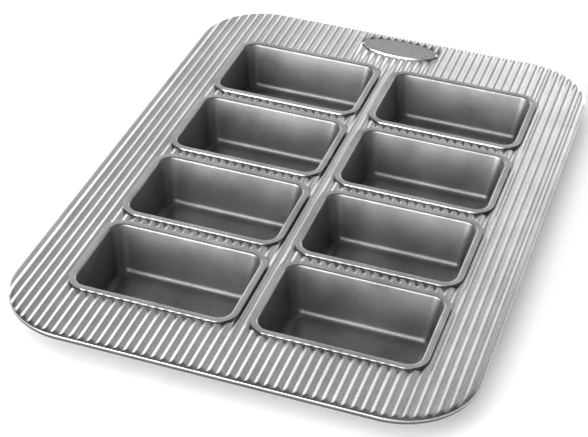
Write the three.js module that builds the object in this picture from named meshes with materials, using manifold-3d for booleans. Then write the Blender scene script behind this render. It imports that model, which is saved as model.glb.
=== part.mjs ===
// A mini loaf pan: a ribbed sheet whose edge is rolled over a wire, and drawn loaf cups set into its holes.
// Millimetres. X runs along the short side, Y along the long side from front to back, and Z is up.
// The origin is in the middle of the outline, on the surface that the cups stand on.

import * as THREE from 'three';
import { mergeVertices } from 'three/addons/utils/BufferGeometryUtils.js';
import Module from 'manifold-3d';

// Loaf cup
const mouthLength = 97.6;
const mouthWidth = 64;
const mouthCorner = 8.5;
const cupDepth = 31.8;
const cupTaper = 6.2;
const cupSheet = 0.7;
const floorCorner = 6.5;
const floorFillet = 5;
const lipWidth = 4.1;
const lipFold = 1.4;

// Bead round the cup, under the ribbed sheet, that keeps the cup from lifting out
const lockOverlap = 0.5;
const lockHeight = 2;
const lockSlopeShare = 0.33;

// Layout of the cups
const cupColumns = 2;
const cupRows = 4;
const columnGap = 7.6;
const rowGap = 7.3;
const columnNames = ['left', 'right'];

// Ribbed sheet
const sideMargin = 31.7;
const frontMargin = 41.4;
const backMargin = 47.9;
const panCorner = 47;
const frameSheet = 0.6;
const ribPitch = 5.54;
const ribHeight = 1.1;
const ribPhaseShare = 0.75;
const ribEndRun = 2.2;

// Bare oval place at the middle of the back edge
const ovalLength = 56;
const ovalWidth = 23;
const ovalEdgeGap = 6.2;
const ovalBorder = 1;
const ovalRise = 0.1;

// Wire inside the rolled edge
const wireDiameter = 1.4;
const wireEndGap = 0.4;

// Clearances between pieces
const seatGap = 0.3;
const holeGap = 0.3;
const wireGap = 0.3;

// Rolled edge, in turns of its section from its top outwards, down and back in
const rollTurnShare = 0.7;

// Facets
const cupCornerSteps = 3;
const holeCornerSteps = 3;
const panCornerSteps = 10;
const sheetCornerSteps = 12;
const ovalSteps = 6;
const filletSteps = 3;
const foldSteps = 2;
const wireSides = 8;
const rollOutsideSteps = 6;
const rollInsideSteps = 4;
const rollSkip = 4;
const finestLineGap = 0.3;

// Worked out from the sizes above
const lipLength = mouthLength + 2 * lipWidth;
const lipDepth = mouthWidth + 2 * lipWidth;
const columnPitch = lipLength + columnGap;
const rowPitch = lipDepth + rowGap;
const panWidth = 2 * sideMargin + (cupColumns - 1) * columnPitch + lipLength;
const panLength = frontMargin + backMargin + (cupRows - 1) * rowPitch + lipDepth;
const firstRowY = -panLength / 2 + frontMargin + lipDepth / 2;
const firstColumnX = -(cupColumns - 1) * columnPitch / 2;

const floorTop = cupSheet;
const lipTop = floorTop + cupDepth;
const lipUnder = lipTop - cupSheet;
const ribTop = lipUnder - seatGap;
const valleyTop = ribTop - ribHeight;
const valleyUnder = valleyTop - frameSheet;

const beadInside = wireDiameter / 2 + wireGap;
const beadRadius = beadInside + frameSheet;
const beadCentre = valleyTop - beadRadius;
const ribStop = beadRadius + ribEndRun;
const holeOffset = cupSheet + holeGap;
const holeHalfX = mouthLength / 2 + holeOffset;
const holeHalfY = mouthWidth / 2 + holeOffset;
const holeCorner = mouthCorner + holeOffset;
const ovalCentreY = panLength / 2 - ovalEdgeGap - ovalWidth / 2;
const draft = Math.atan2(cupTaper, cupDepth);

const wasm = await Module();
wasm.setup();

// Closed geometry to a solid that can be cut and joined.
function toSolid(geometry) {
  const bare = geometry.index ? geometry.toNonIndexed() : geometry.clone();
  bare.deleteAttribute('normal');
  bare.deleteAttribute('uv');
  const merged = mergeVertices(bare);
  return new wasm.Manifold(new wasm.Mesh({
    numProp: 3,
    vertProperties: new Float32Array(merged.attributes.position.array),
    triVerts: new Uint32Array(merged.index.array),
  }));
}

// Solid back to a geometry with flat faces.
function toGeometry(solid) {
  const mesh = solid.getMesh();
  const geometry = new THREE.BufferGeometry();
  geometry.setAttribute('position', new THREE.BufferAttribute(new Float32Array(mesh.vertProperties), 3));
  geometry.setIndex(new THREE.BufferAttribute(new Uint32Array(mesh.triVerts), 1));
  const flat = geometry.toNonIndexed();
  flat.computeVertexNormals();
  return flat;
}

// Points of a rounded rectangle at height z, anticlockwise seen from above.
function roundedRing(halfX, halfY, radius, z, steps) {
  const points = [];
  const corners = [[1, 1], [-1, 1], [-1, -1], [1, -1]];
  corners.forEach(([signX, signY], quarter) => {
    for (let step = 0; step <= steps; step += 1) {
      const angle = (quarter + step / steps) * Math.PI / 2;
      const x = signX * (halfX - radius) + radius * Math.cos(angle);
      const y = signY * (halfY - radius) + radius * Math.sin(angle);
      points.push(new THREE.Vector3(x, y, z));
    }
  });
  return points;
}

// Skin over a list of rings with equally many points. Either the last ring meets the first,
// or the first and the last ring are closed with flat faces.
// Seen with outwards to the right and up at the top, the rings' profile runs anticlockwise round the metal.
function loft(rings, closesOnItself) {
  const count = rings[0].length;
  const positions = rings.flat().flatMap((point) => [point.x, point.y, point.z]);
  const triangles = [];
  const last = closesOnItself ? rings.length : rings.length - 1;
  for (let ring = 0; ring < last; ring += 1) {
    const next = (ring + 1) % rings.length;
    for (let step = 0; step < count; step += 1) {
      const a = ring * count + step;
      const b = ring * count + (step + 1) % count;
      const c = next * count + (step + 1) % count;
      const d = next * count + step;
      triangles.push(a, b, c, a, c, d);
    }
  }
  if (!closesOnItself) {
    const end = (rings.length - 1) * count;
    for (let step = 1; step < count - 1; step += 1) {
      triangles.push(0, step + 1, step);
      triangles.push(end, end + step, end + step + 1);
    }
  }
  const geometry = new THREE.BufferGeometry();
  geometry.setAttribute('position', new THREE.Float32BufferAttribute(positions, 3));
  geometry.setIndex(triangles);
  return geometry.toNonIndexed();
}

// Points of an arc in a profile, from one angle to another.
function arcPoints(centre, radius, from, to, steps) {
  return Array.from({ length: steps + 1 }, (_, step) => {
    const angle = from + (to - from) * step / steps;
    return [centre[0] + radius * Math.cos(angle), centre[1] + radius * Math.sin(angle)];
  });
}

// How far the inside of a cup's wall lies outwards from the mouth's edge at height z.
function wallOffset(z) {
  return -cupTaper * (lipTop - z) / cupDepth;
}

// How far the outside of a cup's wall lies outwards from the mouth's edge at height z.
function outerOffset(z) {
  return wallOffset(z) + cupSheet / Math.cos(draft);
}

// Ring round a cup at an offset from the mouth's edge. Its corners shrink towards the floor.
function cupRing([offset, z]) {
  const depthShare = THREE.MathUtils.clamp((lipTop - z) / cupDepth, 0, 1);
  const wallCorner = THREE.MathUtils.lerp(mouthCorner, floorCorner, depthShare);
  const radius = Math.max(cupSheet, wallCorner + offset - wallOffset(z));
  return roundedRing(mouthLength / 2 + offset, mouthWidth / 2 + offset, radius, z, cupCornerSteps);
}

// Drawn cup with a filleted floor, leaning walls, a flat lip and the bead that locks it.
function cupGeometry() {
  const right = Math.PI / 2;
  const filletTouch = floorTop + floorFillet * (1 - Math.sin(draft));
  const fillet = [wallOffset(filletTouch) - floorFillet * Math.cos(draft), floorTop + floorFillet];
  const foldTouch = lipTop - lipFold * (1 - Math.sin(draft));
  const fold = [wallOffset(foldTouch) + lipFold * Math.cos(draft), lipTop - lipFold];

  const lockTop = valleyUnder - seatGap;
  const lockBottom = lockTop - lockHeight;
  const lockOffset = holeOffset + lockOverlap;
  const lockSlope = lockHeight * lockSlopeShare;

  const profile = [
    ...arcPoints(fillet, floorFillet, -right, -draft, filletSteps),
    ...arcPoints(fold, lipFold, 2 * right - draft, right, foldSteps),
    [lipWidth, lipTop],
    [lipWidth, lipUnder],
    [outerOffset(lipUnder), lipUnder],
    [outerOffset(lockTop), lockTop],
    [lockOffset, lockTop - lockSlope],
    [lockOffset, lockBottom + lockSlope],
    [outerOffset(lockBottom), lockBottom],
    ...arcPoints(fillet, floorFillet + cupSheet, -draft, -right, filletSteps),
  ];
  return loft(profile.map(cupRing).reverse(), false);
}

// Ring that follows the pan's outline, set in from it.
function panRing([inset, z]) {
  return roundedRing(panWidth / 2 - inset, panLength / 2 - inset, panCorner - inset, z, panCornerSteps);
}

// How far the ribbed sheet rises above its valleys at x. Only whole ribs are kept.
function ribRise(x) {
  const ribs = x / ribPitch - ribPhaseShare;
  const crest = (Math.round(ribs) + ribPhaseShare) * ribPitch;
  if (Math.abs(crest) + ribPitch / 2 > panWidth / 2 - beadRadius / 2) return 0;
  return ribHeight * (1 + Math.cos(2 * Math.PI * ribs)) / 2;
}

// Centre of the cup in a column and row, both counted from 0.
function cupCentre(column, row) {
  return new THREE.Vector3(firstColumnX + column * columnPitch, firstRowY + row * rowPitch, 0);
}

// X of the column whose holes reach over x, or null between the columns.
function columnAt(x) {
  for (let column = 0; column < cupColumns; column += 1) {
    const centre = cupCentre(column, 0).x;
    if (Math.abs(x - centre) <= holeHalfX) return centre;
  }
  return null;
}

// Half of the length of a rounded shape across x, where its corner arc starts cornerRadius inside its end.
function roundedHalf(fromCentre, halfX, halfY, cornerRadius) {
  const intoCorner = Math.max(0, fromCentre - (halfX - cornerRadius));
  const drop = Math.sqrt(Math.max(0, cornerRadius ** 2 - intoCorner ** 2));
  return halfY - cornerRadius + drop;
}

// Half of a hole's size along Y on the line at x. Beside the holes it keeps its value at their ends.
function holeHalfAt(x) {
  const centre = columnAt(x);
  const fromCentre = centre === null ? holeHalfX : Math.abs(x - centre);
  return roundedHalf(fromCentre, holeHalfX, holeHalfY, holeCorner);
}

// Half of the ribbed sheet's size along Y on the line at x, up to where the ribs stop.
function sheetHalfAt(x) {
  return roundedHalf(Math.abs(x), panWidth / 2 - ribStop, panLength / 2 - ribStop, panCorner - ribStop);
}

// Half of an oval's size along Y on the line at x, and 0 beyond its tips.
function ovalHalfAt(x, growth) {
  const share = x / (ovalLength / 2 + growth);
  return (ovalWidth / 2 + growth) * Math.sqrt(Math.max(0, 1 - share ** 2));
}

// Lines along Y on which the sheet's surface has its corners, from left to right.
// The lines that round shapes need come first, and crests and valleys that fall close to them are left out.
function sheetLines() {
  const quarter = (steps) => Array.from({ length: steps + 1 }, (_, step) => step / steps * Math.PI / 2);
  const wanted = [];
  for (let column = 0; column < cupColumns; column += 1) {
    quarter(holeCornerSteps).forEach((angle) => {
      const reach = holeHalfX - holeCorner * (1 - Math.cos(angle));
      wanted.push(cupCentre(column, 0).x - reach, cupCentre(column, 0).x + reach);
    });
  }
  quarter(sheetCornerSteps).forEach((angle) => {
    const reach = panWidth / 2 - ribStop - (panCorner - ribStop) * (1 - Math.cos(angle));
    wanted.push(-reach, reach);
  });
  [0, ovalBorder].forEach((growth) => {
    quarter(ovalSteps).slice(0, 2).forEach((angle) => {
      const reach = (ovalLength / 2 + growth) * Math.cos(angle);
      wanted.push(-reach, reach);
    });
  });
  const ribs = Math.ceil(panWidth / ribPitch);
  for (let half = -ribs; half <= ribs; half += 1) {
    wanted.push((half / 2 + ribPhaseShare) * ribPitch);
  }
  const lines = [];
  wanted.forEach((x) => {
    const inside = Math.abs(x) <= panWidth / 2 - ribStop;
    if (inside && lines.every((line) => Math.abs(line - x) > finestLineGap)) lines.push(x);
  });
  return lines.sort((one, other) => one - other);
}

// Places along Y where the line at x crosses the holes, the oval and the sheet's ends, from front to back.
// Each is [y, flat], and flat is true on the rim of the oval. Beyond its tips the oval's places fall together.
function placesOn(x) {
  const places = [[-sheetHalfAt(x), false]];
  for (let row = 0; row < cupRows; row += 1) {
    const centre = cupCentre(0, row).y;
    places.push([centre - holeHalfAt(x), false], [centre + holeHalfAt(x), false]);
  }
  const [lastHole] = places[places.length - 1];
  const gapAt = (at) => sheetHalfAt(at) - (cupCentre(0, cupRows - 1).y + holeHalfAt(at));
  const share = (ovalCentreY - panLength / 2 + ribStop) / gapAt(0) + 1;
  const rim = ovalHalfAt(x, 0);
  const border = ovalHalfAt(x, ovalBorder);
  const centre = border > 0 ? ovalCentreY : lastHole + gapAt(x) * share;
  places.push([centre - border, false], [centre - rim, rim > 0]);
  places.push([centre + rim, rim > 0], [centre + border, false]);
  places.push([sheetHalfAt(x), false]);
  return places;
}

// Points and the triangles between them, from which one closed surface is put together.
class Skin {
  points = [];
  triangles = [];

  add(point) {
    return this.points.push(point) - 1;
  }

  // Triangles with two corners in one place are left out.
  triangle(a, b, c) {
    const [p, q, r] = [this.points[a], this.points[b], this.points[c]];
    if (p.distanceTo(q) > 0 && q.distanceTo(r) > 0 && r.distanceTo(p) > 0) this.triangles.push([a, b, c]);
  }

  quad(a, b, c, d) {
    this.triangle(a, b, c);
    this.triangle(a, c, d);
  }

  toGeometry() {
    const geometry = new THREE.BufferGeometry();
    geometry.setFromPoints(this.triangles.flat().map((at) => this.points[at]));
    geometry.computeVertexNormals();
    return geometry;
  }
}

// Both faces of the ribbed sheet, and the walls of its holes. The points of the top face come first,
// line by line, and those of the underside follow in the same order. Returns how many each face has.
function addSheet(skin, lines, rows) {
  const grid = lines.map((x) => placesOn(x));
  [0, -frameSheet].forEach((drop) => {
    lines.forEach((x, line) => {
      grid[line].forEach(([y, flat]) => {
        const z = flat ? ribTop + ovalRise : valleyTop + ribRise(x);
        skin.add(new THREE.Vector3(x, y, z + drop));
      });
    });
  });
  const under = lines.length * rows;
  for (let line = 0; line + 1 < lines.length; line += 1) {
    const overHoles = columnAt((lines[line] + lines[line + 1]) / 2) !== null;
    for (let row = 0; row + 1 < rows; row += 1) {
      const a = line * rows + row;
      const b = a + rows;
      if (overHoles && row % 2 === 1 && row < 2 * cupRows) {
        skin.quad(a, b, b + under, a + under);
        skin.quad(b + 1, a + 1, a + 1 + under, b + 1 + under);
      } else {
        skin.quad(a, b, b + 1, a + 1);
        skin.quad(under + a, under + a + 1, under + b + 1, under + b);
      }
    }
  }
  return under;
}

// The walls at the left and right ends of the holes.
function addHoleEnds(skin, lines, rows, under) {
  for (let column = 0; column < cupColumns; column += 1) {
    [-1, 1].forEach((side) => {
      const end = cupCentre(column, 0).x + side * holeHalfX;
      const line = lines.findIndex((x) => Math.abs(x - end) <= finestLineGap / 2);
      for (let row = 1; row < 2 * cupRows; row += 2) {
        const [low, high] = [line * rows + row, line * rows + row + 1];
        if (side < 0) skin.quad(high, low, low + under, high + under);
        else skin.quad(low, high, high + under, low + under);
      }
    });
  }
}

// Numbers of the points round the sheet's border, anticlockwise from above.
function sheetBorder(lineCount, rows) {
  const last = lineCount - 1;
  const border = [];
  for (let line = 0; line <= last; line += 1) border.push(line * rows);
  for (let row = 1; row + 1 < rows; row += 1) border.push(last * rows + row);
  for (let line = last; line >= 0; line -= 1) border.push(line * rows + rows - 1);
  for (let row = rows - 2; row > 0; row -= 1) border.push(row);
  return border;
}

// The way out of the pan at a place on its border.
function wayOut({ x, y }) {
  const intoX = Math.max(0, Math.abs(x) - panWidth / 2 + panCorner) * Math.sign(x);
  const intoY = Math.max(0, Math.abs(y) - panLength / 2 + panCorner) * Math.sign(y);
  return new THREE.Vector3(intoX, intoY, 0).normalize();
}

// Section of the rolled edge as a list of [inset, z]: its outside from its top outwards, down and back in,
// and then its inside the other way.
function rollSection() {
  const top = Math.PI / 2;
  const end = top + Math.PI * 2 * rollTurnShare;
  const centre = [beadRadius, beadCentre];
  return [
    ...arcPoints(centre, beadRadius, top, end, rollOutsideSteps),
    ...arcPoints(centre, beadInside, end, top, rollInsideSteps),
  ];
}

// The rolled edge along the sheet's border, joined to both faces of the sheet.
// It follows only some of the border's points where the border is straight.
function addRoll(skin, border, under) {
  const outwards = border.map((at) => wayOut(skin.points[at]));
  const kept = border.map((_, at) => at).filter((at) => {
    const bend = (step) => outwards[at].distanceTo(outwards[(at + step + border.length) % border.length]);
    return bend(-1) > 0 || bend(1) > 0 || at % rollSkip === 0;
  });
  const rings = rollSection().map(([inset, z]) => kept.map((at) => {
    const out = outwards[at].clone().multiplyScalar(ribStop - inset);
    return skin.add(skin.points[border[at]].clone().add(out).setZ(z));
  }));
  const [topRing, underRing] = [rings[0], rings[rings.length - 1]];
  kept.forEach((from, order) => {
    const next = (order + 1) % kept.length;
    for (let ring = 0; ring + 1 < rings.length; ring += 1) {
      skin.quad(rings[ring][order], rings[ring + 1][order], rings[ring + 1][next], rings[ring][next]);
    }
    const to = next === 0 ? border.length : kept[next];
    const middle = Math.floor((from + to) / 2);
    for (let at = from; at < to; at += 1) {
      const corner = at < middle ? order : next;
      const [one, other] = [border[at], border[(at + 1) % border.length]];
      skin.triangle(topRing[corner], other, one);
      skin.triangle(underRing[corner], one + under, other + under);
    }
    const between = border[middle % border.length];
    skin.triangle(topRing[order], topRing[next], between);
    skin.triangle(underRing[next], underRing[order], between + under);
  });
}

// The ribbed sheet, hollow under its ribs, with its holes and its oval, and its edge rolled round the wire.
function frameGeometry() {
  const skin = new Skin();
  const lines = sheetLines();
  const rows = placesOn(0).length;
  const under = addSheet(skin, lines, rows);
  addHoleEnds(skin, lines, rows, under);
  addRoll(skin, sheetBorder(lines.length, rows), under);
  return skin.toGeometry();
}

// Wire inside the rolled edge, whose two ends meet at the middle of the back edge.
function wireGeometry() {
  const profile = arcPoints([beadRadius, beadCentre], wireDiameter / 2, 2 * Math.PI, 0, wireSides);
  const loop = toSolid(loft(profile.slice(0, wireSides).map(panRing), true));
  const slot = new THREE.BoxGeometry(wireEndGap, 2 * beadRadius, 2 * beadRadius);
  slot.translate(0, panLength / 2 - beadRadius, beadCentre);
  return toGeometry(loop.subtract(toSolid(slot)));
}

const frameSteel = new THREE.MeshStandardMaterial({ color: 0xb8b8b6, roughness: 0.42, metalness: 0.9 });
const cupSteel = new THREE.MeshStandardMaterial({ color: 0x8e8e8e, roughness: 0.38, metalness: 0.9 });
const wireSteel = new THREE.MeshStandardMaterial({ color: 0x9a9a9a, roughness: 0.5, metalness: 1 });

function namedMesh(name, geometry, material) {
  const mesh = new THREE.Mesh(geometry, material);
  mesh.name = name;
  return mesh;
}

const pan = new THREE.Group();
pan.add(namedMesh('corrugated_frame', frameGeometry(), frameSteel));
pan.add(namedMesh('rim_wire', wireGeometry(), wireSteel));

const cups = new THREE.Group();
for (let row = 0; row < cupRows; row += 1) {
  for (let column = 0; column < cupColumns; column += 1) {
    const cup = namedMesh(`loaf_cup_row${row + 1}_${columnNames[column]}`, cupGeometry(), cupSteel);
    cup.position.copy(cupCentre(column, row));
    cups.add(cup);
  }
}
pan.add(cups);

export default pan;
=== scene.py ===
"""Blender scene of a mini loaf pan: a ribbed sheet with a rolled edge, and eight drawn loaf cups set into it.

Everything is in metres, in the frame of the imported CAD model: X runs across the pan, Y from its front edge to
its back edge, and Z up. The origin is in the middle of the outline, on the surface that the cups stand on.
"""

import logging
import math
from dataclasses import dataclass
from enum import Enum

import bpy
import numpy as np
from mathutils import Matrix, Vector


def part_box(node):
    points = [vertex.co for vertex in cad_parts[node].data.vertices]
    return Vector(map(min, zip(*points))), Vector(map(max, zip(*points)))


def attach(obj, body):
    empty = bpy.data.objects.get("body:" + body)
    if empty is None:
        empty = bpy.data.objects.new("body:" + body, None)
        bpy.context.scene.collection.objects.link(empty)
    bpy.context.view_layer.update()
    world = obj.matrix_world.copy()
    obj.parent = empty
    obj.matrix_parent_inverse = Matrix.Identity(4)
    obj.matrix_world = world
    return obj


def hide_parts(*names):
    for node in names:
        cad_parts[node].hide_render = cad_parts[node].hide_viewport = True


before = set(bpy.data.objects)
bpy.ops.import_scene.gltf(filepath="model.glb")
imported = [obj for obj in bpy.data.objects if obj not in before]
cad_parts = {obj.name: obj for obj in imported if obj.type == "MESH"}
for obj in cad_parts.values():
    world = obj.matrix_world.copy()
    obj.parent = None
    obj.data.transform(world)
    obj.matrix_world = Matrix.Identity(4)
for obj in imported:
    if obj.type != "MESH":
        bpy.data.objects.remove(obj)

LOG = logging.getLogger("loaf_pan")
MM = 0.001
TINY = 1e-9
QUARTER_TURN = math.pi / 2
WHITE = (1.0, 1.0, 1.0)
FRAME_NODE = "corrugated_frame"
WIRE_NODE = "rim_wire"
COLUMN_NAMES = ("left", "right")
ROW_COUNT = 4
BODY = "root"
ROUND_EDGE_ANGLE = math.radians(50)

# The Mix node's colour sockets go by number, because other sockets have the same names.
MIX_FIRST, MIX_SECOND, MIX_RESULT = 6, 7, 2


class Slot(Enum):
    """The record's material slots."""

    FRAME = "frame_steel"
    CUP = "cup_steel"
    WIRE = "wire_steel"


class Ray(Enum):
    """Kinds of ray, by the Light Path node's names for them."""

    CAMERA = "Is Camera Ray"
    GLOSSY = "Is Glossy Ray"
    TRANSMISSION = "Is Transmission Ray"


class Field:
    """A shader socket that arithmetic can be written with."""

    def __init__(self, board: "Board", socket: bpy.types.NodeSocket) -> None:
        """Keeps the socket and the board that its node is on."""
        self.board = board
        self.socket = socket

    def _math(self, operation: str, first: "Field | float", second: "Field | float") -> "Field":
        """Joins two values with a Math node.

        Args:
            operation: The Math node's operation.
            first: The first value.
            second: The second value.

        Returns:
            The result.
        """
        return self.board.add("ShaderNodeMath", {0: first, 1: second}, operation=operation)

    def __add__(self, other: "Field | float") -> "Field":
        """The sum."""
        return self._math("ADD", self, other)

    def __radd__(self, other: float) -> "Field":
        """The sum, with a number first."""
        return self._math("ADD", other, self)

    def __sub__(self, other: "Field | float") -> "Field":
        """The difference."""
        return self._math("SUBTRACT", self, other)

    def __rsub__(self, other: float) -> "Field":
        """The difference, with a number first."""
        return self._math("SUBTRACT", other, self)

    def __mul__(self, other: "Field | float") -> "Field":
        """The product."""
        return self._math("MULTIPLY", self, other)

    def power(self, exponent: float) -> "Field":
        """The value raised to a power."""
        return self._math("POWER", self, exponent)

    def between(self, low: float, high: float) -> "Field":
        """The value, taken from a range to 0 to 1 and cut off outside it.

        Args:
            low: The value that becomes 0.
            high: The value that becomes 1.

        Returns:
            The result.
        """
        inputs = {"Value": self, "From Min": low, "From Max": high}
        return self.board.add("ShaderNodeMapRange", inputs, clamp=True)

    def blend(self, dark: tuple[float, float, float], light: tuple[float, float, float]) -> "Field":
        """A colour between two others, with this value as the share of the second.

        Args:
            dark: The colour at 0.
            light: The colour at 1.

        Returns:
            The colour.
        """
        inputs = {"Factor": self, MIX_FIRST: (*dark, 1.0), MIX_SECOND: (*light, 1.0)}
        return self.board.add("ShaderNodeMix", inputs, output=MIX_RESULT, data_type="RGBA")

    def tinted(self, tint: "Field") -> "Field":
        """This colour multiplied by another.

        Args:
            tint: The other colour.

        Returns:
            The product.
        """
        inputs = {"Factor": 1.0, MIX_FIRST: self, MIX_SECOND: tint}
        settings = {"data_type": "RGBA", "blend_type": "MULTIPLY"}
        return self.board.add("ShaderNodeMix", inputs, output=MIX_RESULT, **settings)


class Board:
    """The node tree of one material or world."""

    def __init__(self, owner: bpy.types.Material | bpy.types.World) -> None:
        """Starts with an empty tree.

        Args:
            owner: The material or world.
        """
        owner.use_nodes = True
        self.tree = owner.node_tree
        self.tree.nodes.clear()

    def add(
        self, kind: str, inputs: dict[str | int, object], output: int | str = 0, **settings: object
    ) -> Field | None:
        """Adds any node.

        Args:
            kind: The node's type.
            inputs: What goes into its sockets, by name or number: fields, numbers or tuples.
            output: The number or name of the output that is returned.
            **settings: The node's own settings.

        Returns:
            The chosen output, or None for a node that has no outputs.
        """
        node = self.tree.nodes.new(kind)
        for key, value in settings.items():
            setattr(node, key, value)
        for key, value in inputs.items():
            if isinstance(value, Field):
                self.tree.links.new(value.socket, node.inputs[key])
            else:
                node.inputs[key].default_value = value
        return Field(self, node.outputs[output]) if node.outputs else None

    def coordinates(self, stretch: tuple[float, float, float] = (1.0, 1.0, 1.0)) -> Field:
        """Object coordinates, multiplied axis by axis.

        Args:
            stretch: The factors along X, Y and Z.

        Returns:
            The coordinates.
        """
        place = self.add("ShaderNodeTexCoord", {}, output="Object")
        return self.add("ShaderNodeVectorMath", {0: place, 1: stretch}, operation="MULTIPLY")

    def is_ray(self, kind: Ray) -> Field:
        """A value that is 1 for rays of one kind, and 0 for others."""
        return self.add("ShaderNodeLightPath", {}, output=kind.value)

    def noise(self, place: Field, size: float, detail: float = 2.0, seed: float = 0.0) -> Field:
        """Noise of a given grain.

        Args:
            place: The coordinates.
            size: About how large one patch is, in metres.
            detail: How many finer layers there are.
            seed: Another value gives another pattern.

        Returns:
            Values round 0.5.
        """
        inputs = {"Vector": place, "W": seed, "Scale": 1 / size, "Detail": detail}
        return self.add("ShaderNodeTexNoise", inputs, noise_dimensions="4D")


@dataclass(frozen=True)
class SteelFinish:
    """Aluminised sheet steel: a fine grain, faint streaks along the rolling direction and larger clouds.

    Below the first of the two heights its colour is darkened with painted shade, and above the second it keeps
    its own tone.
    """

    slot: Slot
    dark: tuple[float, float, float]
    light: tuple[float, float, float]
    roughness: float
    roughness_range: float = 0.08
    cloud_share: float = 0.45
    streak_share: float = 0.35
    grain_share: float = 0.2
    rough_shares: tuple[float, float, float] = (0.4, 0.3, 0.3)
    cloud_range: tuple[float, float] = (0.3, 0.7)
    tone_range: tuple[float, float] = (0.2, 0.8)
    cloud_size: float = 22 * MM
    streak_size: float = 0.9 * MM
    streak_stretch: tuple[float, float, float] = (1.0, 0.05, 1.0)
    grain_size: float = 0.45 * MM
    grain_height: float = 0.006 * MM
    dent_size: float = 30 * MM
    dent_height: float = 0.02 * MM
    # Tone and heights of the painted shade that darkens the lower parts of a piece.
    painted_shade_tone: tuple[float, float, float] = (0.14, 0.14, 0.14)
    painted_shade_heights: tuple[float, float] | None = None

    def material(self) -> bpy.types.Material:
        """Builds the material.

        Returns:
            The new material.
        """
        made = bpy.data.materials.new(self.slot.value)
        board = Board(made)
        place = board.coordinates()
        clouds = board.noise(place, self.cloud_size, detail=3.0, seed=1.0).between(*self.cloud_range)
        streaks = board.noise(board.coordinates(self.streak_stretch), self.streak_size, seed=2.0)
        grain = board.noise(place, self.grain_size, seed=3.0)
        dents = board.noise(place, self.dent_size, detail=1.0, seed=4.0)
        tone = clouds * self.cloud_share + streaks * self.streak_share + grain * self.grain_share
        colour = tone.between(*self.tone_range).blend(self.dark, self.light)
        # Painted shade: below the first height the colour is tinted towards a dark tone, where shade falls.
        if self.painted_shade_heights:
            upward = board.add("ShaderNodeSeparateXYZ", {0: place}, output="Z")
            colour = colour.tinted(upward.between(*self.painted_shade_heights).blend(self.painted_shade_tone, WHITE))
        of_clouds, of_streaks, of_grain = self.rough_shares
        uneven = clouds * of_clouds + streaks * of_streaks + grain * of_grain - sum(self.rough_shares) / 2
        height = grain * self.grain_height + dents * self.dent_height
        inputs = {
            "Base Color": colour,
            "Metallic": 1.0,
            "Roughness": self.roughness + uneven * self.roughness_range,
            "Normal": board.add("ShaderNodeBump", {"Height": height, "Strength": 1.0, "Distance": 1.0}),
        }
        surface = board.add("ShaderNodeBsdfPrincipled", inputs)
        board.add("ShaderNodeOutputMaterial", {"Surface": surface})
        return made


def mesh_piece(
    name: str, points: np.ndarray, faces: list[np.ndarray], finish: bpy.types.Material
) -> bpy.types.Object:
    """Makes a smooth-shaded mesh object with one finish.

    Args:
        name: The object's name.
        points: The points, one row each.
        faces: Arrays of faces, each with one face a row.
        finish: Its material.

    Returns:
        The new object.
    """
    mesh = bpy.data.meshes.new(name)
    mesh.from_pydata(points.tolist(), [], [face for group in faces for face in group.tolist()])
    mesh.polygons.foreach_set("use_smooth", np.ones(len(mesh.polygons), dtype=bool))
    mesh.set_sharp_from_angle(angle=ROUND_EDGE_ANGLE)
    mesh.materials.append(finish)
    mesh.validate()
    mesh.update()
    piece = bpy.data.objects.new(name, mesh)
    bpy.context.scene.collection.objects.link(piece)
    return piece


def grid_faces(numbers: np.ndarray, closed: bool) -> np.ndarray:
    """Four-sided faces between the neighbours in a grid of point numbers.

    Args:
        numbers: The grid of point numbers.
        closed: True if the last column meets the first.

    Returns:
        The faces. Each runs down a column, along the next row and back.
    """
    right = np.roll(numbers, -1, axis=1)
    if not closed:
        numbers, right = numbers[:, :-1], right[:, :-1]
    corners = (numbers[:-1], numbers[1:], right[1:], right[:-1])
    return np.stack(corners, axis=-1).reshape(-1, 4)


def arc(centre: tuple[float, float], radius: float, start: float, end: float, steps: int) -> np.ndarray:
    """Points of an arc, both ends included.

    Args:
        centre: The centre.
        radius: The radius.
        start: The first angle.
        end: The last angle.
        steps: The number of steps.

    Returns:
        The points, one row each.
    """
    angles = np.linspace(start, end, steps + 1)
    circle = np.stack((np.cos(angles), np.sin(angles)), axis=-1)
    return np.array(centre) + radius * circle


def direction(turn: float, lift: float) -> tuple[float, float, float]:
    """Direction from the pan towards a place in the room.

    Args:
        turn: The angle from the pan's back, anticlockwise from above.
        lift: The angle over the floor.

    Returns:
        The direction, with a length of 1.
    """
    flat = math.cos(lift)
    return -math.sin(turn) * flat, math.cos(turn) * flat, math.sin(lift)


def ramp(values: np.ndarray, start: float, end: float) -> np.ndarray:
    """Smooth step from 0 at start to 1 at end, which may be the lower of the two."""
    share = np.clip((values - start) / (end - start), 0, 1)
    return share * share * (3 - 2 * share)


@dataclass(frozen=True)
class PanSizes:
    """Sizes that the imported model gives, and those that its pieces share."""

    width: float
    length: float
    lip_top: float
    column_centres: tuple[float, ...]
    row_centres: tuple[float, ...]
    cup_sheet: float = 0.7 * MM
    seat_gap: float = 0.3 * MM
    mouth_length: float = 97.6 * MM
    mouth_width: float = 64 * MM
    mouth_corner: float = 8.5 * MM
    lip_width: float = 4.1 * MM

    @classmethod
    def from_frame(cls) -> "PanSizes":
        """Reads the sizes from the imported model's boxes.

        Returns:
            The sizes.
        """
        low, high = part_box(FRAME_NODE)
        middles = {}
        for row in range(ROW_COUNT):
            for column in range(len(COLUMN_NAMES)):
                cup_low, cup_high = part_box(cup_name(row, column))
                middles[row, column] = [(start + end) / 2 for start, end in zip(cup_low, cup_high)]
        return cls(
            width=high[0] - low[0],
            length=high[1] - low[1],
            lip_top=cup_high[2],
            column_centres=tuple(middles[0, column][0] for column in range(len(COLUMN_NAMES))),
            row_centres=tuple(middles[row, 0][1] for row in range(ROW_COUNT)),
        )


def cup_name(row: int, column: int) -> str:
    """Name of the CAD node of a cup."""
    return f"loaf_cup_row{row + 1}_{COLUMN_NAMES[column]}"


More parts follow.
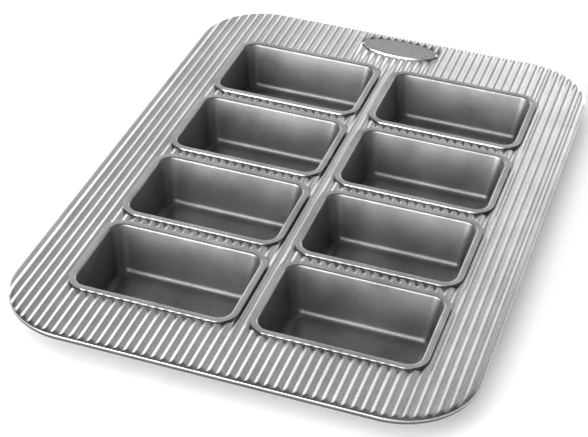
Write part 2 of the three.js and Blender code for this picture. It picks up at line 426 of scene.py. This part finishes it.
@dataclass
class RibbedSheet:
    """The pan's top: a thin ribbed sheet with holes for the cups, and its edge rolled over a wire.

    The ribs run along Y. The growths say how far rows of points lie outside the lips and the oval.
    """

    sizes: PanSizes
    corner: float = 47 * MM
    sheet: float = 0.6 * MM
    rib_pitch: float = 5.54 * MM
    rib_height: float = 1.1 * MM
    rib_phase: float = 0.75
    crest_share: float = 0.16
    rib_end_run: float = 2.2 * MM
    rib_end_start: float = 0.9 * MM
    bead_radius: float = 1.6 * MM
    roll_turn: float = 0.7
    hole_growth: float = 1.0 * MM
    oval_length: float = 56 * MM
    oval_width: float = 23 * MM
    oval_edge_gap: float = 6.2 * MM
    oval_rise: float = 0.1 * MM
    plate_edge: tuple[float, float] = (0.1 * MM, -0.5 * MM)
    ribs_edge: tuple[float, float] = (0.3 * MM, 1.4 * MM)
    oval_growths: tuple[float, ...] = (-0.5 * MM, -0.2 * MM, 0.1 * MM, 0.4 * MM, 0.9 * MM, 1.4 * MM)
    oval_row_space: float = 0.05 * MM
    oval_reach: float = 8 * MM
    lip_groove: tuple[float, float] = (0.7 * MM, 0.2 * MM)
    lip_seat: tuple[float, float] = (-1.7 * MM, -2.2 * MM)
    lip_growths: tuple[float, ...] = (-2.2 * MM, -1.7 * MM, 0.2 * MM, 0.7 * MM, 1.1 * MM)
    row_space: float = 0.1 * MM
    lip_row_share: float = 0.7
    lines_per_rib: int = 8
    corner_steps: int = 32
    corner_lines: int = 9
    run_steps: int = 7
    roll_steps: int = 14
    roll_roundness: float = 0.4
    roll_drop: float = 1.5

    def __post_init__(self) -> None:
        """Works out the heights, insets and half sizes that follow from the sizes."""
        self.valley = self.sizes.lip_top - self.sizes.cup_sheet - self.sizes.seat_gap - self.rib_height
        self.bead_centre = self.valley - self.bead_radius
        self.stop = self.bead_radius + self.rib_end_run
        self.half_x = self.sizes.width / 2 - self.stop
        self.half_y = self.sizes.length / 2 - self.stop
        self.oval_centre = self.sizes.length / 2 - self.oval_edge_gap - self.oval_width / 2
        self.hole_half_x = self.sizes.mouth_length / 2 + self.hole_growth
        self.hole_half_y = self.sizes.mouth_width / 2 + self.hole_growth

    def rib_rise(self, x: np.ndarray) -> np.ndarray:
        """How far the ribs rise over the valleys: each whole rib has two flat sides and a rounded crest.

        Args:
            x: Places across the pan.

        Returns:
            The rise at each.
        """
        ribs = x / self.rib_pitch - self.rib_phase
        crest = (np.round(ribs) + self.rib_phase) * self.rib_pitch
        whole = np.abs(crest) + self.rib_pitch / 2 <= self.sizes.width / 2 - self.bead_radius / 2
        away = np.abs(ribs - np.round(ribs))
        half = self.crest_share
        fall = np.where(away < half, away**2 / (2 * half), away - half / 2) / (1 / 2 - half / 2)
        return np.where(whole, self.rib_height * (1 - fall), 0)

    def from_columns(self, x: np.ndarray) -> np.ndarray:
        """Distance across the pan from the middle of the nearest column of cups."""
        return np.min([np.abs(x - centre) for centre in self.sizes.column_centres], axis=0)

    def from_lips(self, x: np.ndarray, y: np.ndarray) -> np.ndarray:
        """Distance from the nearest cup's lip, seen from above, and negative under it.

        Args:
            x: Places across the pan.
            y: Places along it.

        Returns:
            The distance at each.
        """
        dx = self.from_columns(x)
        dy = np.min([np.abs(y - centre) for centre in self.sizes.row_centres], axis=0)
        corner = self.sizes.mouth_corner + self.sizes.lip_width
        into_x = dx - self.sizes.mouth_length / 2 - self.sizes.lip_width + corner
        into_y = dy - self.sizes.mouth_width / 2 - self.sizes.lip_width + corner
        beyond = np.hypot(np.maximum(into_x, 0), np.maximum(into_y, 0))
        return beyond + np.minimum(np.maximum(into_x, into_y), 0) - corner

    def height(self, x: np.ndarray, y: np.ndarray) -> np.ndarray:
        """Height of the sheet's top face.

        The ribs end in a narrow groove round every lip, and the lips lie on a level seat inside it. The
        ribs fade out towards the bare oval plate, with a groove between.

        Args:
            x: Places across the pan.
            y: Places along it.

        Returns:
            The height at each.
        """
        across, along = self.oval_length / 2, self.oval_width / 2
        share = np.hypot(x / across, (y - self.oval_centre) / along) + TINY
        slope = np.hypot(x / across**2, (y - self.oval_centre) / along**2) / share + TINY
        outside = (share - 1) / slope
        from_lips = self.from_lips(x, y)
        ribs = self.rib_rise(x) * (1 - ramp(from_lips, *self.lip_groove))
        ribs += self.rib_height * ramp(from_lips, *self.lip_seat)
        ribs *= ramp(outside, *self.ribs_edge)
        plate = (self.rib_height + self.oval_rise) * ramp(outside, *self.plate_edge)
        return self.valley + ribs + plate

    def lines(self) -> np.ndarray:
        """Places of the surface's lines across the pan, denser at the corners and exact at the holes.

        Returns:
            The places from left to right.
        """
        turn = np.linspace(0, QUARTER_TURN, self.corner_steps + 1)[: self.corner_lines]
        ends = self.half_x - (self.corner - self.stop) * (1 - np.cos(turn))
        count = int(ends[-1] / self.rib_pitch * self.lines_per_rib)
        inner = np.arange(-count, count + 1) * self.rib_pitch / self.lines_per_rib
        for centre in self.sizes.column_centres:
            for edge in (centre - self.hole_half_x, centre + self.hole_half_x):
                inner[np.abs(inner - edge).argmin()] = edge
        return np.unique(np.concatenate((-ends, inner, ends)))

    def rounded_half(
        self, from_centre: np.ndarray, half_x: float, half_y: float, corner: float
    ) -> np.ndarray:
        """Half of a rounded rectangle's size along Y, across X.

        Args:
            from_centre: Distances from its middle across the pan.
            half_x: Half of its size across the pan.
            half_y: Half of its size along the pan.
            corner: Its corner radius.

        Returns:
            The half size at each distance.
        """
        into = np.clip(from_centre - half_x + corner, 0, corner)
        return half_y - corner + np.sqrt(corner**2 - into**2)

    def grid(self, lines: np.ndarray) -> np.ndarray:
        """Places along Y of every line's points: at its ends and round the lips, the holes and the oval.

        Args:
            lines: Places across the pan.

        Returns:
            An array with one row for each line, from front to back.
        """
        from_column = self.from_columns(lines)
        hole = self.rounded_half(
            np.minimum(from_column, self.hole_half_x),
            self.hole_half_x,
            self.hole_half_y,
            self.sizes.mouth_corner + self.hole_growth,
        )
        end = self.rounded_half(np.abs(lines), self.half_x, self.half_y, self.corner - self.stop)
        lips = []
        for growth in self.lip_growths:
            reach = self.sizes.lip_width + growth
            half_x, half_y = self.sizes.mouth_length / 2 + reach, self.sizes.mouth_width / 2 + reach
            corner = self.sizes.mouth_corner + reach
            furthest = half_x - corner * (1 - self.lip_row_share)
            lips.append(self.rounded_half(np.minimum(from_column, furthest), half_x, half_y, corner))
        rows = [-end]
        for centre in self.sizes.row_centres:
            rows += [centre - lip for lip in reversed(lips)]
            rows += [centre - hole, centre + hole]
            rows += [centre + lip for lip in lips]
        halves = []
        for order, growth in enumerate(self.oval_growths, start=1):
            half_x, half_y = self.oval_length / 2 + growth, self.oval_width / 2 + growth
            half = half_y * np.sqrt(np.clip(1 - (lines / half_x) ** 2, 0, 1))
            halves.append(np.maximum(half, order * self.oval_row_space))
        share = (self.oval_centre - rows[-1].max()) / (self.half_y - rows[-1].max())
        middle = rows[-1] + (end - rows[-1]) * share
        near = np.abs(lines) < self.oval_length / 2 + self.oval_reach
        middle = np.where(near, self.oval_centre, middle)
        rows += [middle - half for half in reversed(halves)]
        rows += [middle + half for half in halves]
        rows.append(end)
        y = np.stack(rows, axis=1)
        order = np.arange(len(rows)) * self.row_space
        return np.clip(y, order - end[:, None], end[:, None] - order[::-1])

    def border(self, numbers: np.ndarray) -> np.ndarray:
        """Numbers of the grid's outer points, anticlockwise from above."""
        sides = (numbers[:, 0], numbers[-1, 1:-1], numbers[::-1, -1], numbers[0, -2:0:-1])
        return np.concatenate(sides)

    def roll_sections(self) -> tuple[np.ndarray, np.ndarray, np.ndarray]:
        """Section of the edge, from where the ribs end to the end of the roll.

        Returns:
            Inset and height of each level outside, the same inside, and each level's share of the ribs' rise.
        """
        run = np.linspace(self.stop, self.bead_radius, self.run_steps + 1)[1:-1]
        last = QUARTER_TURN * (1 + 4 * self.roll_turn)
        circle = arc((0, 0), 1, QUARTER_TURN, last, self.roll_steps)
        shoulder = (circle[:, :1] < 0) & (circle[:, 1:] > 0)
        curl = np.where(shoulder, np.sign(circle) * np.abs(circle) ** self.roll_roundness, circle)
        curl[:, 1] *= np.where(curl[:, 1] < 0, self.roll_drop, 1)
        sides = []
        for below in (0, self.sheet):
            flat = np.stack((run, np.full_like(run, self.valley - below)), axis=-1)
            rolled = (self.bead_radius, self.bead_centre) + curl * (self.bead_radius - below)
            sides.append(np.concatenate((flat, rolled)))
        outside, inside = sides
        to_side = len(run) + round(self.roll_steps / (4 * self.roll_turn))
        share = np.clip((outside[:, 0] - self.rib_end_start) / (self.stop - self.rib_end_start), 0, 1)
        rise = np.where(np.arange(len(outside)) < to_side, np.sqrt(share * (2 - share)), 0)
        return outside, inside, rise

    def roll_points(self, rim: np.ndarray, section: np.ndarray, rise: np.ndarray) -> np.ndarray:
        """Points of one face of the edge, level by level round the pan.

        Args:
            rim: The grid's outer points, seen from above.
            section: The inset and height of each level.
            rise: Each level's share of the ribs' rise.

        Returns:
            The points, one row each.
        """
        from_corner = np.array((self.sizes.width, self.sizes.length)) / 2 - self.corner
        out = np.maximum(np.abs(rim) - from_corner, 0) * np.sign(rim)
        out /= np.linalg.norm(out, axis=1, keepdims=True)
        place = rim[None] + out[None] * (self.stop - section[:, 0])[:, None, None]
        z = section[:, 1, None] + self.rib_rise(place[..., 0]) * rise[:, None]
        return np.concatenate((place, z[..., None]), axis=-1).reshape(-1, 3)

    def deck_faces(self, lines: np.ndarray, numbers: np.ndarray) -> np.ndarray:
        """Faces of the sheet's top, which leave the holes open.

        Args:
            lines: Places of the grid's lines across the pan.
            numbers: The grid of point numbers, with one row for each line.

        Returns:
            The faces.
        """
        over_hole = self.from_columns((lines[:-1] + lines[1:]) / 2) < self.hole_half_x
        strip = np.arange(numbers.shape[1] - 1)
        rows_per_cup = 2 * len(self.lip_growths) + 2
        hole_rows = (strip % rows_per_cup == rows_per_cup / 2) & (strip < ROW_COUNT * rows_per_cup)
        solid = ~(over_hole[:, None] & hole_rows[None, :]).reshape(-1)
        return grid_faces(numbers, closed=False)[solid]

    def hole_walls(self, deck: np.ndarray, border: np.ndarray, under: int) -> np.ndarray:
        """Faces between the top and the underside, all round the holes.

        Args:
            deck: The top's faces.
            border: Numbers of the grid's outer points.
            under: What is added to a point's number on the top to give the one below it.

        Returns:
            The faces.
        """
        edges = np.concatenate([deck[:, [side, (side + 1) % 4]] for side in range(4)])
        alone = ~np.isin(edges[:, 0] * under + edges[:, 1], edges[:, 1] * under + edges[:, 0])
        first, second = edges[alone & ~np.isin(edges, border).all(axis=1)].T
        return np.stack((second, first, first + under, second + under), axis=-1)

    def build(self, finish: bpy.types.Material) -> bpy.types.Object:
        """Builds the sheet as one closed surface.

        Args:
            finish: Its material.

        Returns:
            The new piece.
        """
        lines = self.lines()
        y = self.grid(lines)
        x = np.broadcast_to(lines[:, None], y.shape)
        top = np.stack((x, y, self.height(x, y)), axis=-1).reshape(-1, 3)
        numbers = np.arange(y.size).reshape(y.shape)
        under = y.size
        border = self.border(numbers)
        deck = self.deck_faces(lines, numbers)

        outside, inside, rise = self.roll_sections()
        rings = [self.roll_points(top[border, :2], section, rise) for section in (outside, inside)]
        points = np.concatenate((top, top - (0, 0, self.sheet), *rings))
        outer = 2 * under + np.arange(len(rise) * len(border)).reshape(len(rise), -1)
        inner = np.vstack((border + under, outer + outer.size))
        outer = np.vstack((border, outer))
        faces = [
            deck,
            deck[:, ::-1] + under,
            self.hole_walls(deck, border, under),
            grid_faces(outer, closed=True),
            grid_faces(inner, closed=True)[:, ::-1],
            grid_faces(np.vstack((outer[-1], inner[-1])), closed=True),
        ]
        piece = mesh_piece("ribbed_sheet", points, faces, finish)
        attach(piece, BODY)
        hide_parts(FRAME_NODE)
        return piece


@dataclass
class LoafCup:
    """A drawn cup with a filleted floor, leaning walls, a flat lip and the bead that locks it."""

    sizes: PanSizes
    depth: float = 31.8 * MM
    taper: float = 6.2 * MM
    floor_corner: float = 6.5 * MM
    floor_fillet: float = 5 * MM
    lip_fold: float = 1.4 * MM
    lip_edge: float = 0.03 * MM
    lip_edge_height: float = 0.09 * MM
    lip_bevel: float = 0.9 * MM
    lock_offset: float = 1.5 * MM
    lock_top: float = 29.5 * MM
    lock_height: float = 2 * MM
    lock_ramp: float = 2 / 3 * MM
    support: float = 0.5 * MM
    corner_steps: int = 14
    fillet_steps: int = 10
    fold_steps: int = 7
    edge_steps: int = 3

    def wall(self, z: float | np.ndarray) -> float | np.ndarray:
        """How far the wall's inside lies outwards from the mouth's edge at height z."""
        return -self.taper * (self.sizes.lip_top - z) / self.depth

    def profile(self) -> np.ndarray:
        """Section from the floor's inside, over the lip and down to the floor's underside.

        Returns:
            Offsets from the mouth's edge and heights, one row each.
        """
        top, thick = self.sizes.lip_top, self.sizes.cup_sheet
        floor = top - self.depth
        draft = math.atan2(self.taper, self.depth)
        low_touch = floor + self.floor_fillet * (1 - math.sin(draft))
        fillet = (self.wall(low_touch) - self.floor_fillet * math.cos(draft), floor + self.floor_fillet)
        high_touch = top - self.lip_fold * (1 - math.sin(draft))
        fold = (self.wall(high_touch) + self.lip_fold * math.cos(draft), top - self.lip_fold)
        outer = thick / math.cos(draft)
        slope = np.array((math.sin(draft), math.cos(draft))) * self.support
        inside = arc(fillet, self.floor_fillet, -QUARTER_TURN, -draft, self.fillet_steps)
        bend = arc(fold, self.lip_fold, 2 * QUARTER_TURN - draft, QUARTER_TURN, self.fold_steps)
        edge_round = (self.sizes.lip_width - self.lip_edge, top - self.lip_edge)
        edge = arc(edge_round, self.lip_edge, QUARTER_TURN, 0, self.edge_steps)
        outside = arc(fillet, self.floor_fillet + thick, -draft, -QUARTER_TURN, self.fillet_steps)
        lock_bottom = self.lock_top - self.lock_height
        under = top - thick
        parts = [
            # The inside, from the floor up to the lip.
            inside[:1] - (self.support, 0),
            inside,
            inside[-1:] + slope,
            bend[:1] - slope,
            bend,
            bend[-1:] + (self.support, 0),
            # The lip's edge and its underside.
            edge[:1] - (self.support, 0),
            edge,
            [(self.sizes.lip_width, top - self.lip_edge_height)],
            [(self.sizes.lip_width - self.lip_bevel, under)],
            [(self.wall(under) + outer, under)],
            # The outside, with the bead that locks the cup, down to the floor.
            [(self.wall(self.lock_top) + outer, self.lock_top)],
            [(self.lock_offset, self.lock_top - self.lock_ramp)],
            [(self.lock_offset, lock_bottom + self.lock_ramp)],
            [(self.wall(lock_bottom) + outer, lock_bottom)],
            outside[:1] + slope,
            outside,
            outside[-1:] - (self.support, 0),
        ]
        return np.concatenate(parts)

    def ring_pattern(self) -> tuple[np.ndarray, np.ndarray, np.ndarray]:
        """Points round a rounded rectangle, anticlockwise, with a support point beside every corner.

        Returns:
            Their angles, their corners' signs, and their shifts along the straight sides.
        """
        angles, signs, shifts = [], [], []
        for order, sign in enumerate(((1, 1), (-1, 1), (-1, -1), (1, -1))):
            turn = (order + np.linspace(0, 1, self.corner_steps + 1)) * QUARTER_TURN
            turn = np.concatenate((turn[:1], turn, turn[-1:]))
            along = np.zeros_like(turn)
            along[0], along[-1] = -self.support, self.support
            angles.append(turn)
            signs.append(np.tile(sign, (len(turn), 1)))
            shifts.append(along[:, None] * np.stack((-np.sin(turn), np.cos(turn)), -1))
        return np.concatenate(angles), np.concatenate(signs), np.concatenate(shifts)

    def build(self, row: int, column: int, finish: bpy.types.Material) -> bpy.types.Object:
        """Builds one cup.

        Args:
            row: Its row, counted from the front.
            column: Its column, counted from the left.
            finish: Its material.

        Returns:
            The new piece.
        """
        profile = self.profile()
        angles, signs, shifts = self.ring_pattern()
        share = np.clip((self.sizes.lip_top - profile[:, 1]) / self.depth, 0, 1)
        wall_corner = self.sizes.mouth_corner + (self.floor_corner - self.sizes.mouth_corner) * share
        corner = np.maximum(self.sizes.cup_sheet, wall_corner + profile[:, 0] - self.wall(profile[:, 1]))
        corner = corner[:, None, None]
        half = np.array((self.sizes.mouth_length, self.sizes.mouth_width)) / 2 + profile[:, :1]
        turn = np.stack((np.cos(angles), np.sin(angles)), -1)
        flat = signs * (half[:, None, :] - corner) + corner * turn + shifts
        flat += (self.sizes.column_centres[column], self.sizes.row_centres[row])
        height = np.broadcast_to(profile[:, 1, None, None], (*flat.shape[:2], 1))
        points = np.concatenate((flat, height), axis=-1).reshape(-1, 3)
        numbers = np.arange(len(points)).reshape(flat.shape[:2])
        faces = [grid_faces(numbers, closed=True)[:, ::-1], numbers[:1], numbers[-1:, ::-1]]
        name = f"drawn_cup_row{row + 1}_{COLUMN_NAMES[column]}"
        piece = mesh_piece(name, points, faces, finish)
        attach(piece, BODY)
        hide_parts(cup_name(row, column))
        return piece


@dataclass
class RimWire:
    """The wire inside the rolled edge, which keeps its CAD shape."""

    node: str = WIRE_NODE

    def dress(self, finish: bpy.types.Material) -> None:
        """Gives the CAD node its finish.

        Args:
            finish: Its material.
        """
        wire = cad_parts[self.node]
        wire.data.materials.clear()
        wire.data.materials.append(finish)


@dataclass(frozen=True)
class Glow:
    """A round bright patch of the room, which lights the pan and is mirrored, but is hidden from the camera.

    Its angles are in degrees. At the angle of its spread it is half as bright as in its middle.
    """

    turn: float
    lift: float
    spread: float
    strength: float

    def paint(self, board: Board, way: Field) -> Field:
        """Adds its brightness: a power of the cosine of the angle from its middle.

        Args:
            board: The world's board.
            way: The direction that is looked in.

        Returns:
            The brightness in that direction.
        """
        middle = direction(math.radians(self.turn), math.radians(self.lift))
        ways = {0: way, 1: middle}
        facing = board.add("ShaderNodeVectorMath", ways, output="Value", operation="DOT_PRODUCT")
        sharpness = math.log(0.5) / math.log(math.cos(math.radians(self.spread)))
        return facing.between(0, 1).power(sharpness) * self.strength


@dataclass
class Studio:
    """Pale floor, soft lights, white background and the camera at the photograph's angle.

    The backdrop's edge is where it ends in reflections: the sines of the angles over the floor at which it
    is gone and at which it is full.
    """

    eye: tuple[float, float, float] = (0.24319, -0.84313, 0.63227)
    target: tuple[float, float, float] = (-0.00399, -0.04707, 0.0325)
    roll: float = math.radians(-2.445)
    photo_width: int = 588
    focal_pixels: float = 1655.86
    view_range: float = 50.0
    floor_size: float = 8.0
    floor_tone: float = 0.8
    floor_glow: float = 0.06
    sun_turn: float = math.radians(180)
    sun_lift: float = math.radians(55)
    sun_size: float = math.radians(44)
    sun_strength: float = 3.4
    room_tone: float = 0.015
    backdrop_edge: tuple[float, float] = (0.26, 0.08)
    panels: tuple[Glow, ...] = (
        Glow(150, 4, 8, 22.0),
        Glow(150, 24, 12, 6.0),
        Glow(175, 24, 12, 4.8),
        Glow(-15, 6, 9, 3.4),
        Glow(60, 18, 9, 2.8),
        Glow(47, 12, 8, 2.0),
        Glow(26, 15, 7, 1.5),
        Glow(-15, 18, 9, 1.8),
        Glow(40, 30, 9, 0.7),
        Glow(8, 31, 7, 0.45),
        Glow(20, 43, 11, 0.4),
        Glow(-20, 43, 11, 0.45),
        Glow(0, 88, 20, 0.16),
    )

    def add_camera(self) -> None:
        """Adds the camera and makes it the scene's own."""
        lens = bpy.data.cameras.new("camera")
        lens.lens = self.focal_pixels * lens.sensor_width / self.photo_width
        lens.clip_end = self.view_range
        holder = bpy.data.objects.new("camera", lens)
        aim = (Vector(self.target) - Vector(self.eye)).normalized()
        right = aim.cross(Vector((0, 0, 1))).normalized()
        up = right.cross(aim)
        tilt = Matrix.Rotation(self.roll, 3, aim)
        right, up = tilt @ right, tilt @ up
        turn = Matrix((right, up, -aim)).transposed()
        holder.matrix_world = Matrix.Translation(self.eye) @ turn.to_4x4()
        bpy.context.scene.collection.objects.link(holder)
        bpy.context.scene.camera = holder

    def add_floor(self) -> None:
        """Adds the pale floor, which the camera and reflections see a little brighter."""
        half = self.floor_size / 2
        corners = [(-half, -half, 0), (half, -half, 0), (half, half, 0), (-half, half, 0)]
        mesh = bpy.data.meshes.new("floor")
        mesh.from_pydata(corners, [], [(0, 1, 2, 3)])
        finish = bpy.data.materials.new("floor_white")
        board = Board(finish)
        tone = self.floor_tone
        matt = board.add("ShaderNodeBsdfDiffuse", {"Color": (tone, tone, tone, 1.0)})
        glow = board.add("ShaderNodeEmission", {"Strength": self.floor_glow})
        both = board.add("ShaderNodeAddShader", {0: matt, 1: glow})
        camera = board.is_ray(Ray.CAMERA)
        mirrored = (board.is_ray(Ray.GLOSSY) + board.is_ray(Ray.TRANSMISSION)) * (1 - camera)
        surface = board.add("ShaderNodeMixShader", {0: camera + mirrored, 1: matt, 2: both})
        board.add("ShaderNodeOutputMaterial", {"Surface": surface})
        mesh.materials.append(finish)
        floor = bpy.data.objects.new("floor", mesh)
        bpy.context.scene.collection.objects.link(floor)

    def add_room(self) -> None:
        """Makes a white backdrop all round, and over it a dim room with bright panels.

        The camera sees white wherever it looks. Reflections see the backdrop, white up to its top edge.
        """
        world = bpy.data.worlds.new("room")
        board = Board(world)
        way = board.add("ShaderNodeTexCoord", {}, output="Generated")
        upward = board.add("ShaderNodeSeparateXYZ", {0: way}, output="Z")
        tone = upward.between(*self.backdrop_edge) + self.room_tone
        for panel in self.panels:
            tone = panel.paint(board, way) + tone
        camera = board.is_ray(Ray.CAMERA)
        strength = tone * (1 - camera) + camera
        surface = board.add("ShaderNodeBackground", {"Color": (*WHITE, 1.0), "Strength": strength})
        board.add("ShaderNodeOutputWorld", {"Surface": surface})
        bpy.context.scene.world = world

    def add_sun(self) -> None:
        """Adds a soft lamp above the front edge, which casts the shadow and isn't mirrored by the metal."""
        lamp = bpy.data.lights.new("overhead_light", "SUN")
        lamp.energy = self.sun_strength
        lamp.angle = self.sun_size
        holder = bpy.data.objects.new("overhead_light", lamp)
        way = Vector(direction(self.sun_turn, self.sun_lift))
        holder.rotation_euler = way.to_track_quat("Z", "Y").to_euler()
        holder.visible_glossy = False
        bpy.context.scene.collection.objects.link(holder)

    def build(self) -> None:
        """Adds everything that isn't part of the object."""
        self.add_camera()
        self.add_floor()
        self.add_room()
        self.add_sun()
        bpy.context.scene.view_settings.view_transform = "Standard"


FRAME_STEEL = SteelFinish(
    Slot.FRAME,
    dark=(0.42, 0.42, 0.415),
    light=(1.0, 1.0, 0.985),
    roughness=0.30,
    cloud_share=0.15,
    streak_share=0.15,
    grain_share=0.7,
    grain_size=0.8 * MM,
    # Painted shade: darkens the sheet's underside and the lower half of the rolled edge, where shade falls
    # under the bead.
    painted_shade_heights=(28.6 * MM, 30.2 * MM),
)
CUP_STEEL = SteelFinish(
    Slot.CUP,
    dark=(0.54, 0.54, 0.54),
    light=(0.94, 0.94, 0.94),
    roughness=0.43,
    cloud_share=0.5,
    streak_share=0.3,
    # Painted shade: everything below the lip's flat top is darkened, inside the cup and over the fold, so only
    # the lip stays light.
    painted_shade_tone=(0.56, 0.56, 0.56),
    painted_shade_heights=(32.1 * MM, 32.45 * MM),
)
WIRE_STEEL = SteelFinish(Slot.WIRE, dark=(0.45, 0.45, 0.44), light=(0.60, 0.60, 0.59), roughness=0.35)


def main() -> None:
    """Builds the pan and the studio round it."""
    logging.basicConfig(level=logging.INFO, format="%(name)s: %(message)s")
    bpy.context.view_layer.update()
    sizes = PanSizes.from_frame()
    LOG.info("sheet: %s", RibbedSheet(sizes).build(FRAME_STEEL.material()).name)
    cup_finish = CUP_STEEL.material()
    cup = LoafCup(sizes)
    for row in range(ROW_COUNT):
        for column in range(len(COLUMN_NAMES)):
            LOG.info("cup: %s", cup.build(row, column, cup_finish).name)
    RimWire().dress(WIRE_STEEL.material())
    LOG.info("wire dressed")
    Studio().build()


if __name__ == "__main__":
    main()
